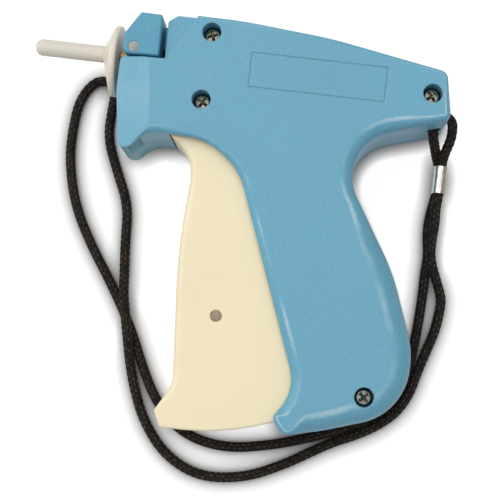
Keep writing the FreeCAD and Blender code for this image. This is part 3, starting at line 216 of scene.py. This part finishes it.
class Value:
    """A socket of a material, or a plain number, with arithmetic that adds Math nodes."""

    def __init__(self, finish, socket):
        self.finish = finish
        self.socket = socket

    def math(self, operation, *others):
        return self.finish.node(
            "ShaderNodeMath", {"operation": operation}, dict(enumerate((self,) + others)))

    def __add__(self, other):
        return self.math("ADD", other)

    __radd__ = __add__

    def __mul__(self, other):
        return self.math("MULTIPLY", other)

    __rmul__ = __mul__

    def __sub__(self, other):
        return self.math("SUBTRACT", other)

    def __rsub__(self, other):
        return self.finish.node("ShaderNodeMath", {"operation": "SUBTRACT"}, {0: other, 1: self})

    def __pow__(self, other):
        return self.math("POWER", other)

    def __rpow__(self, other):
        return self.finish.node("ShaderNodeMath", {"operation": "POWER"}, {0: other, 1: self})

    def clip(self, low, high):
        """0 below low, 1 above high, and a smooth step between them."""
        return self.finish.node(
            "ShaderNodeMapRange", {"interpolation_type": "SMOOTHSTEP"},
            {0: self, 1: low, 2: high, 3: 0.0, 4: 1.0})


class Finish:
    """A material being made."""

    def __init__(self, name):
        self.material = bpy.data.materials.new(name)
        self.material.use_nodes = True
        self.tree = self.material.node_tree
        self.tree.nodes.clear()

    def node(self, kind, settings=None, sockets=None, output=0):
        """Adds a node: its settings first, then the values or links of its sockets."""
        node = self.tree.nodes.new(kind)
        for key, setting in (settings or {}).items():
            setattr(node, key, setting)
        for key, value in (sockets or {}).items():
            socket = node.inputs[key]
            if isinstance(value, Value):
                self.tree.links.new(value.socket, socket)
            elif socket.type == "RGBA":
                socket.default_value = (*value, 1)
            else:
                socket.default_value = value
        return Value(self, node.outputs[output]) if node.outputs else None

    def places(self, scale=(1, 1, 1)):
        """Object coordinates in metres, stretched."""
        own = self.node("ShaderNodeTexCoord", None, None, "Object")
        return self.node("ShaderNodeMapping", None, {"Vector": own, "Scale": scale})

    def measure(self, operation, *vectors):
        """A number worked out from vectors, such as a length or a dot product."""
        return self.node(
            "ShaderNodeVectorMath", {"operation": operation}, dict(enumerate(vectors)), "Value")

    def noise(self, where, per_metre, detail):
        return self.node("ShaderNodeTexNoise", None, {
            "Vector": where, "Scale": per_metre, "Detail": detail})

    def mix(self, share, one, other):
        """One colour where share is 0, the other where it is 1."""
        return self.node("ShaderNodeMix", {"data_type": "RGBA"}, {0: share, 6: one, 7: other}, 2)

    def bump(self, height, metres, under=None):
        sockets = {"Height": height, "Distance": metres, "Strength": 1.0}
        if under:
            sockets["Normal"] = under
        return self.node("ShaderNodeBump", None, sockets)

    def done(self, **sockets):
        """The closing Principled shader; underscores in a name stand for spaces."""
        named = {key.replace("_", " "): value for key, value in sockets.items()}
        shader = self.node("ShaderNodeBsdfPrincipled", None, named)
        self.node("ShaderNodeOutputMaterial", None, {"Surface": shader})
        return self.material


def coat_with(piece, material):
    """Gives a piece one material on all its faces."""
    piece.data.materials.clear()
    piece.data.materials.append(material)


def cord_finish():
    """Dark fibres: each stitch is lighter and browner on its crest, with fine threads."""
    finish = Finish("braided_cord")
    crest = finish.node("ShaderNodeAttribute", {"attribute_name": "crest"}, None, "Fac")
    unrolled = finish.node("ShaderNodeAttribute", {"attribute_name": "unrolled"}, None, "Vector")
    speck = finish.noise(unrolled, 900, 2.0)
    threads = finish.noise(finish.node("ShaderNodeMapping", None, {
        "Vector": unrolled, "Scale": (2200, 7000, 1), "Rotation": (0, 0, 0.5)}), 1.0, 1.0)
    dark = (0.0035, 0.0030, 0.0026)
    brown = (0.085, 0.061, 0.043)
    share = (crest ** 1.8) * speck.clip(0.32, 0.66)
    colour = finish.mix(share, dark, brown)
    return finish.done(
        Base_Color=colour, Roughness=0.8, Specular_IOR_Level=0.18,
        Normal=finish.bump(threads, 0.00006),
        Sheen_Weight=0.04, Sheen_Roughness=0.4, Sheen_Tint=(0.60, 0.50, 0.42))


cord_material = cord_finish()
short_cord, short_line = braided("lanyard_short_braid", short_route)
long_cord, long_line = braided("lanyard_long_braid", long_route)
for piece, node in ((short_cord, "lanyard_short_loop"), (long_cord, "lanyard_long_loop")):
    coat_with(piece, cord_material)
    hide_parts(node)
    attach(piece, "housing")

# ---------------------------------------------------------------- ferrule of the lanyard
# A short tube of bright plated brass, pressed flat-sided over the two strands.  Both
# mouths flare a little and are rolled, the pressing has drawn its middle in, and the tool
# left two creases along it.

ferrule_middle = (0.0699, -0.0112, 0.00384)
ferrule_length = 0.0081
ferrule_half = 0.00176          # outer radius of its two rounded sides
ferrule_straight = 0.00152      # how far each of them is moved apart from the middle
ferrule_sheet = 0.00030
ferrule_flare = 0.00018         # at the mouths
ferrule_ripple = 0.00004
creases = ((0.00005, 0.00032, 0.00012), (0.00062, 0.00010, 0.00010))   # place, depth, half width


def crimped_tube():
    """A closed sleeve: rings of a flat-sided oval carried out along the tube and back inside.

    The oval is a circle whose upper half is lifted and lower half lowered by the straight.
    Its radius grows with the sixth power of the distance from the middle, with a faint
    ripple, and is less by a bell curve of the sideways place at each crease, which fades
    towards the mouths.  The rows at each mouth run round a half circle as thick as the sheet.
    """
    v = np.linspace(0, 2 * math.pi, 180, endpoint=False)
    share = np.linspace(-1, 1, 30)
    lip = np.linspace(0, math.pi, 7)[1:-1]
    end = ferrule_length / 2 - ferrule_sheet / 2
    along = share * end
    swell = ferrule_flare * np.abs(share) ** 6 + ferrule_ripple * np.cos(share * 9)
    outer = ferrule_half + swell
    round_r = outer[-1] - ferrule_sheet / 2 + ferrule_sheet / 2 * np.cos(lip)
    round_y = ferrule_sheet / 2 * np.sin(lip)
    radius = np.concatenate((outer, round_r, (outer - ferrule_sheet)[::-1], round_r[::-1]))
    place = np.concatenate((along, end + round_y, along[::-1], -end - round_y))
    pressed = np.clip(1.15 - np.abs(place) / (ferrule_length / 2), 0, 1)[:, None]
    sideways = ferrule_half * np.cos(v)
    dent = sum(depth * np.exp(-((sideways - at) / half) ** 2) for at, depth, half in creases)
    radius = radius[:, None] - pressed * dent * (np.sin(v) > 0)
    x = radius * np.cos(v)
    z = radius * np.sin(v) + ferrule_straight * np.clip(np.sin(v) * 3, -1, 1)
    y = np.repeat(place[:, None], len(v), axis=1)
    return np.stack((x, y, z), axis=-1) + np.array(ferrule_middle)


def metal(name, colour, tarnish, rough, marks=(1, 1, 40), clouded=0.7, painted_dark_side=None):
    """Plated or bare metal: fine working marks, a cloudy tarnish and darker spots.

    The last argument paints the tarnish colour over all that lies to the rear of a place between
    its two distances, as a painted darker reflection.
    """
    finish = Finish(name)
    where = finish.places()
    cloud = finish.noise(where, 900, 3.0)
    spots = finish.noise(where, 3200, 2.0).clip(0.52, 0.70)
    lines = finish.noise(finish.places(marks), 300, 2.0)
    share = cloud.clip(0.35, 0.70) * clouded + spots * 0.3
    # Painted reflection: the tarnish colour laid over the rear side.
    if painted_dark_side:
        along_x = finish.node("ShaderNodeSeparateXYZ", None, {"Vector": where}, "X")
        share = share.math("MAXIMUM", (along_x + (cloud - 0.5) * 0.0006).clip(*painted_dark_side))
    return finish.done(
        Base_Color=finish.mix(share, colour, tarnish), Metallic=1.0,
        Roughness=rough + (lines - 0.5) * 0.22 + spots * 0.12, Normal=finish.bump(lines, 0.000008))


# The ferrule's rear side is painted dark brown, as a painted reflection.
bright_material = metal(
    "bright_crimp", (0.74, 0.73, 0.68), (0.26, 0.205, 0.17), 0.30,
    marks=(40, 1, 40), clouded=0.12, painted_dark_side=(0.07015, 0.07060))
ferrule = surface("lanyard_crimp", crimped_tube(), ring=True)
coat_with(ferrule, bright_material)
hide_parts("lanyard_ferrule")
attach(ferrule, "housing")

# ---------------------------------------------------------------- housing shells
# Two injection-moulded halves in light blue ABS with a fine spark-eroded grain, which hands have
# worn smoother and lighter on the sharp edges.  The soft edges carry a painted highlight along
# their rounding.

edge_round = 0.0006             # how far from a sharp edge its rounding is shaded
highlight_peak_place = -0.025             # where along the grip the painted highlight is strongest
highlight_pitch = 0.030              # and how far apart such places lie


def moulded(name, colour, worn_and_highlight_colour, grain, sheen, wear_and_highlight_share=0.5, mottled=0.4, **inside):
    """A moulded plastic: mottled colour, eroded grain, sharp edges worn lighter, and a painted
    highlight.

    The worn marks are strongest on sharp edges, where the rounded normal leaves the face's own.
    A painted highlight lies along the start of each soft edge's rounding. It is full where the
    surface leans by 7 to 11 degrees and gone at 1 and 25. It is painted stronger at some places
    along the grip than at others, as a cosine of the place along it.
    """
    finish = Finish(name)
    where = finish.places()
    soft = finish.node("ShaderNodeBevel", {"samples": 8}, {"Radius": edge_round})
    true = finish.node("ShaderNodeNewGeometry", None, None, "Normal")
    turned_away = 1 - finish.measure("DOT_PRODUCT", soft, true)
    steep = finish.measure("DOT_PRODUCT", soft, (0, 0, 1)).math("ABSOLUTE")
    along_y = finish.node("ShaderNodeSeparateXYZ", None, {"Vector": where}, "Y")
    # Painted highlight: a lighter band along the start of each soft edge's rounding, painted
    # stronger at some places along the grip.
    highlight_along_grip = ((along_y - highlight_peak_place) * (2 * math.pi / highlight_pitch)).math("COSINE") * 0.35 + 0.65
    painted_highlight = steep.clip(0.905, 0.980) * (1 - steep.clip(0.992, 0.9999)) * highlight_along_grip
    painted_highlight = painted_highlight * (1 - turned_away.clip(0.001, 0.012))
    painted_highlight = painted_highlight * finish.noise(where, 60, 3.0).clip(0.34, 0.62)
    edge = turned_away.clip(0.03, 0.30) * finish.noise(where, 420, 2.0).clip(0.25, 0.60) * 0.8
    mottle = finish.noise(where, 1500, 2.0)
    # Sharp edges worn lighter, together with the painted highlight.
    wear_and_highlight = edge.math("MAXIMUM", painted_highlight * (0.55 + mottle * 0.6))
    tone = (finish.noise(where, 38, 3.0) - 0.5) * 0.10 + (mottle - 0.5) * mottled
    base = finish.node("ShaderNodeHueSaturation", None, {"Value": 1.0 + tone, "Color": colour})
    return finish.done(
        Base_Color=finish.mix(wear_and_highlight * wear_and_highlight_share, base, worn_and_highlight_colour),
        Roughness=sheen + (mottle - 0.5) * 0.16 - wear_and_highlight * 0.1, Specular_IOR_Level=0.45,
        Normal=finish.bump(finish.noise(where, 2600, 1.0), grain, soft), **inside)


housing_material = moulded(
    "blue_abs", (0.135, 0.388, 0.532), (0.62, 0.78, 0.82), grain=0.00004, sheen=0.46, wear_and_highlight_share=0.62)
for name in ("left_shell", "right_shell"):
    coat_with(nodes[name], housing_material)

# ---------------------------------------------------------------- needle lock lever
# Moulded in the same ABS, in a darker copy of the housing's colour that is painted shade.  It
# turns on a steel pin beside the nose and holds the needle's hub down in its seat.

# The lever's colour is the housing's ABS made darker, as painted shade.
coat_with(nodes["needle_lock_lever"], moulded(
    "blue_abs_lever_painted_shade", (0.098, 0.345, 0.492), (0.42, 0.66, 0.74),
    grain=0.00002, sheen=0.50, wear_and_highlight_share=0.35))

# ---------------------------------------------------------------- trigger
# One moulding in cream plastic, satin and a little yellowed, open towards the grip.  It
# turns on two round bosses of the housing.

coat_with(nodes["trigger"], moulded(
    "cream_plastic", (0.92, 0.805, 0.548), (0.95, 0.90, 0.74),
    grain=0.000012, sheen=0.38, wear_and_highlight_share=0.3, mottled=0.12))

# ---------------------------------------------------------------- housing screws
# Four pan-head tapping screws in zinc-plated steel with a cross recess, driven from the
# upper side down to the bottom of the counterbores.  No two recesses stand at one angle.

head_radius = 0.00245
head_high = 0.0219
head_low = 0.0200
head_round = 0.0007             # quarter round between the head's wall and its top
head_break = 0.0001             # broken edge under the head
head_dome = 0.00008
recess_reach = 0.00155          # half the length of the cross's bars
recess_half = 0.00040           # half their width in the middle
recess_wall = 0.00008           # how far their walls slope
recess_deep = 0.00125
recess_rise = 0.00065           # how much shallower a bar is at its end
recess_end = 0.12               # share of a bar over which its end slopes
head_skirt = 0.0008             # height of the head that the recess leaves alone
head_centre = 0.00002           # radius of the innermost ring
shank_tip = 0.0042
shank_radius = 0.0011
shank_point = 0.0015            # length of the tapering point
thread_pitch = 0.0009
thread_high = 0.00011
screw_places = ((0.5, 19.4, 20), (0.0, 0.0, 62), (63.6, 9.1, 38), (54.4, -76.2, 46))


def pan_head_screw(x_mm, y_mm, turn):
    """A tapping screw as a grid of rings, its recess turned by so many degrees.

    The shank's radius rises and falls with the height plus the turn, which makes the
    thread.  The head's profile is a wall, a quarter round and a low dome.  The recess is
    two crossed bars: a point inside a bar drops by a depth that shrinks along the bar.
    """
    turns = np.linspace(0, 2 * math.pi, 96, endpoint=False)
    shank_z = np.linspace(shank_tip, head_low, 60)
    taper = np.clip((shank_z - shank_tip) / shank_point, 0.25, 1)
    thread = thread_high * np.cos(2 * math.pi * shank_z[:, None] / thread_pitch - turns)
    shank_r = shank_radius * taper[:, None] + thread
    arc = np.linspace(0, math.pi / 2, 8)
    shoulder = head_high - head_round - head_dome
    wall_r = np.concatenate((
        [head_radius - head_break, head_radius], head_radius - head_round * (1 - np.cos(arc))))
    wall_z = np.concatenate((
        [head_low, head_low + head_break], shoulder + head_round * np.sin(arc)))
    top_r = np.linspace(wall_r[-1], head_centre, 40)[1:]
    top_z = head_high - head_dome * (top_r / wall_r[-1]) ** 2
    head_r = np.concatenate((wall_r, top_r))
    profile_z = np.concatenate((shank_z, wall_z, top_z))
    radius = np.concatenate((shank_r, np.repeat(head_r[:, None], len(turns), axis=1)))
    height = np.repeat(profile_z[:, None], len(turns), axis=1)
    x, y = radius * np.cos(turns), radius * np.sin(turns)
    a = math.radians(turn)
    one, two = x * math.cos(a) + y * math.sin(a), y * math.cos(a) - x * math.sin(a)
    drop = np.zeros_like(x)
    for along, across in ((one, two), (two, one)):
        reach = np.abs(along) / recess_reach
        bar = np.clip((recess_half - recess_wall * reach - np.abs(across)) / recess_wall, 0, 1)
        bar = bar * np.clip((1 - reach) / recess_end, 0, 1)
        drop = np.maximum(drop, bar * (recess_deep - recess_rise * reach))
    height -= drop * (height > head_low + head_skirt)
    return np.stack((x_mm / 1000 + x, y_mm / 1000 + y, height), axis=-1)


# The zinc's colour is painted darker than bare plating, as painted shade of the deep counterbores
# that the heads sit in.
shaded_zinc_material = metal("zinc_plate_painted_shade", (0.20, 0.20, 0.17), (0.060, 0.065, 0.045), 0.26)
for number, screw_place in enumerate(screw_places):
    screw = surface("housing_screw_%d" % (number + 1), pan_head_screw(*screw_place))
    coat_with(screw, shaded_zinc_material)
    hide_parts("housing_screws")
    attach(screw, "housing")

# ---------------------------------------------------------------- needle cap
# A milky polyethylene moulding, pushed over the needle: a blunt tube on a wide thin
# flange.  Light goes into it, so its back and its shaded side stay pale.

coat_with(nodes["needle_cap"], moulded(
    "milky_cap", (0.79, 0.705, 0.595), (0.86, 0.83, 0.76),
    grain=0.000004, sheen=0.34, wear_and_highlight_share=0.35, mottled=0.06,
    Subsurface_Weight=0.7, Subsurface_Radius=(1.0, 0.85, 0.7), Subsurface_Scale=0.004))

# ---------------------------------------------------------------- needle and its hub
# The needle is ground and polished steel tube with a slit along it.  Its hub is a brass
# block with a spigot, dulled by handling.

coat_with(nodes["needle"], metal(
    "ground_steel", (0.68, 0.68, 0.67), (0.45, 0.42, 0.37), 0.20, marks=(1, 40, 40), clouded=0.3))
coat_with(nodes["needle_hub"], metal(
    "dull_brass", (0.58, 0.44, 0.26), (0.30, 0.22, 0.13), 0.34, marks=(1, 1, 30), clouded=0.6))

# ---------------------------------------------------------------- pins and axles
# Cut from steel rod and faced on a lathe, which leaves rings on their ends.  The trigger's
# pin has browned.

tool_feed = 0.00014             # from one ring of the lathe's cutting tool to the next


def turned(name, colour, tarnish, x_mm, y_mm):
    """Turned steel: rings of the cutting tool, as a sine of the distance from the pin's axis."""
    finish = Finish(name)
    where = finish.places()
    off_axis = finish.node("ShaderNodeMapping", None, {
        "Vector": where, "Location": (-x_mm / 1000, -y_mm / 1000, 0), "Scale": (1, 1, 0)})
    waver = (finish.noise(where, 1200, 1.0) - 0.5) * 0.00006
    away = finish.measure("LENGTH", off_axis) + waver
    rings = (away * (2 * math.pi / tool_feed)).math("SINE")
    cloud = finish.noise(where, 800, 3.0)
    return finish.done(
        Base_Color=finish.mix(cloud.clip(0.32, 0.70), colour, tarnish), Metallic=1.0,
        Roughness=0.42 + rings * 0.05 + (cloud - 0.5) * 0.2, Normal=finish.bump(rings, 0.000002))


clean_steel = ((0.52, 0.52, 0.51), (0.36, 0.35, 0.33))
browned_steel = ((0.198, 0.165, 0.117), (0.142, 0.110, 0.076))
dulled_steel = ((0.195, 0.210, 0.205), (0.150, 0.153, 0.148))
for name, (colour, tarnish), x_mm, y_mm in (
        ("trigger_pin", browned_steel, 11.5, -59.1),
        ("lock_lever_pin", dulled_steel, -21.1, 13.2),
        ("fulcrum_axle", clean_steel, 26.6, -43.9),
        ("slider_pin", clean_steel, 45.6, 12.8),
        ("feed_wheel_axle", clean_steel, -6.5, 4.9),
        ("pawl_pin", clean_steel, 5.6, 4.6)):
    coat_with(nodes[name], turned(name.replace("_", " ") + " steel", colour, tarnish, x_mm, y_mm))
coat_with(nodes["push_rod"], metal(
    "drawn_rod", (0.60, 0.60, 0.59), (0.42, 0.40, 0.37), 0.24, marks=(1, 40, 40), clouded=0.4))

# ---------------------------------------------------------------- lever, bracket, pawl, blade
# Stamped from strip, so the rolling marks run along each piece.  A film of grease has
# darkened them in patches.

strip_material = metal(
    "rolled_strip", (0.58, 0.58, 0.57), (0.34, 0.32, 0.28), 0.30, marks=(3, 40, 3), clouded=0.6)
for name in ("drive_lever", "lever_bracket", "feed_pawl", "cutter_blade"):
    coat_with(nodes[name], strip_material)

# ---------------------------------------------------------------- springs
# The return spring is drawn spring wire wound on the fulcrum, the other one a bent leaf.
# Both are blued a little by their tempering.

spring_material = metal(
    "tempered_wire", (0.36, 0.35, 0.35), (0.18, 0.16, 0.15), 0.28, marks=(8, 8, 8), clouded=0.5)
for name in ("return_spring", "anti_reverse_spring"):
    coat_with(nodes[name], spring_material)

# ---------------------------------------------------------------- slider, guides and feed wheel
# Natural acetal, greasy to the touch and slightly translucent.  The slider runs in the
# barrel, bush and insert are held between the shells, and the wheel turns on its axle.

acetal_material = moulded(
    "natural_acetal", (0.74, 0.725, 0.665), (0.86, 0.85, 0.81),
    grain=0.000006, sheen=0.36, wear_and_highlight_share=0.4, mottled=0.08,
    Subsurface_Weight=0.2, Subsurface_Radius=(1.0, 0.9, 0.8), Subsurface_Scale=0.001)
for name in ("slider", "rod_guide", "feed_guide", "feed_wheel"):
    coat_with(nodes[name], acetal_material)

# ---------------------------------------------------------------- buffer
# A block of black rubber, held between the shells behind the slider, which it stops.  Its
# edges are dusty.

coat_with(nodes["slider_buffer"], moulded(
    "buffer_rubber", (0.026, 0.026, 0.027), (0.11, 0.105, 0.10),
    grain=0.00003, sheen=0.72, wear_and_highlight_share=0.6, mottled=0.3))

# ---------------------------------------------------------------- counter and light
# A white counter, one broad soft light overhead from the upper left, a small one low on
# the left, and an even white surround.

counter_half = 3.0              # half its width
counter_gap = 0.00005           # keeps the counter clear of the resting face
painted_shadow_reach = 0.0045           # how near to the object the counter's painted shadow reaches
all_round = 0.40                # strength of the surround's light on the object
white_ground = 1.0              # and its strength as it is seen

corners = [(x * counter_half, y * counter_half, 0)
           for x, y in ((-1, -1), (1, -1), (1, 1), (-1, 1))]
floor_mesh = bpy.data.meshes.new("counter")
floor_mesh.from_pydata(corners, [], [(0, 1, 2, 3)])
floor = bpy.data.objects.new("counter", floor_mesh)
bpy.context.scene.collection.objects.link(floor)
floor.location.z = -counter_gap

# The camera and gloss see a white counter with a contact shadow painted into its emission by
# ambient occlusion.
# The light that it throws back on the object is that of a plain pale grey.
white = Finish("white_counter")
ray = {kind: white.node("ShaderNodeLightPath", None, None, "Is %s Ray" % kind)
       for kind in ("Camera", "Glossy", "Transmission")}
looked_at = ray["Camera"].math("MAXIMUM", ray["Glossy"]).math("MAXIMUM", ray["Transmission"])
shaded = white.node("ShaderNodeBsdfDiffuse", None, {"Color": (0.52, 0.52, 0.52)})
# Painted shadow: the counter's emission fades near the object by ambient occlusion.
painted_shadow_ao = white.node(
    "ShaderNodeAmbientOcclusion", {"samples": 8}, {"Distance": painted_shadow_reach}, "AO")
emission_with_painted_shadow = white.node("ShaderNodeEmission", None, {
    "Color": (1.0, 1.0, 1.0), "Strength": (painted_shadow_ao ** 2.8) * 0.88})
clear = white.node("ShaderNodeAddShader", None, {
    0: white.node("ShaderNodeBsdfDiffuse", None, {"Color": (0.26, 0.26, 0.26)}), 1: emission_with_painted_shadow})
white.node("ShaderNodeOutputMaterial", None, {
    "Surface": white.node("ShaderNodeMixShader", None, {0: looked_at, 1: shaded, 2: clear})})
floor_mesh.materials.append(white.material)

surround = bpy.data.worlds.new("surround")
surround.use_nodes = True
sky = surround.node_tree
rays = sky.nodes.new("ShaderNodeLightPath")
seen = rays.outputs["Is Camera Ray"]
for kind in ("Is Glossy Ray", "Is Transmission Ray"):
    either = sky.nodes.new("ShaderNodeMath")
    either.operation = "MAXIMUM"
    sky.links.new(seen, either.inputs[0])
    sky.links.new(rays.outputs[kind], either.inputs[1])
    seen = either.outputs[0]
strength = sky.nodes.new("ShaderNodeMapRange")
strength.inputs["To Min"].default_value = all_round
strength.inputs["To Max"].default_value = white_ground
sky.links.new(seen, strength.inputs["Value"])
sky.links.new(strength.outputs[0], sky.nodes["Background"].inputs["Strength"])
sky.nodes["Background"].inputs["Color"].default_value = (1.0, 1.0, 1.0, 1)
bpy.context.scene.world = surround


def soft_light(name, place, target, size, watts):
    """A rectangular lamp at a place, turned towards its target."""
    lamp = bpy.data.lights.new(name, "AREA")
    lamp.shape = "RECTANGLE"
    lamp.size, lamp.size_y = size
    lamp.energy = watts
    holder = bpy.data.objects.new(name, lamp)
    holder.location = place
    holder.rotation_euler = (Vector(target) - Vector(place)).to_track_quat("-Z", "Y").to_euler()
    bpy.context.scene.collection.objects.link(holder)


soft_light("overhead", (-0.16, 0.18, 1.0), (0.02, -0.04, 0), (1.3, 1.3), 6.8)
soft_light("window", (-0.80, 0.14, 0.44), (0.0, 0.0, 0.02), (0.30, 0.30), 1.8)
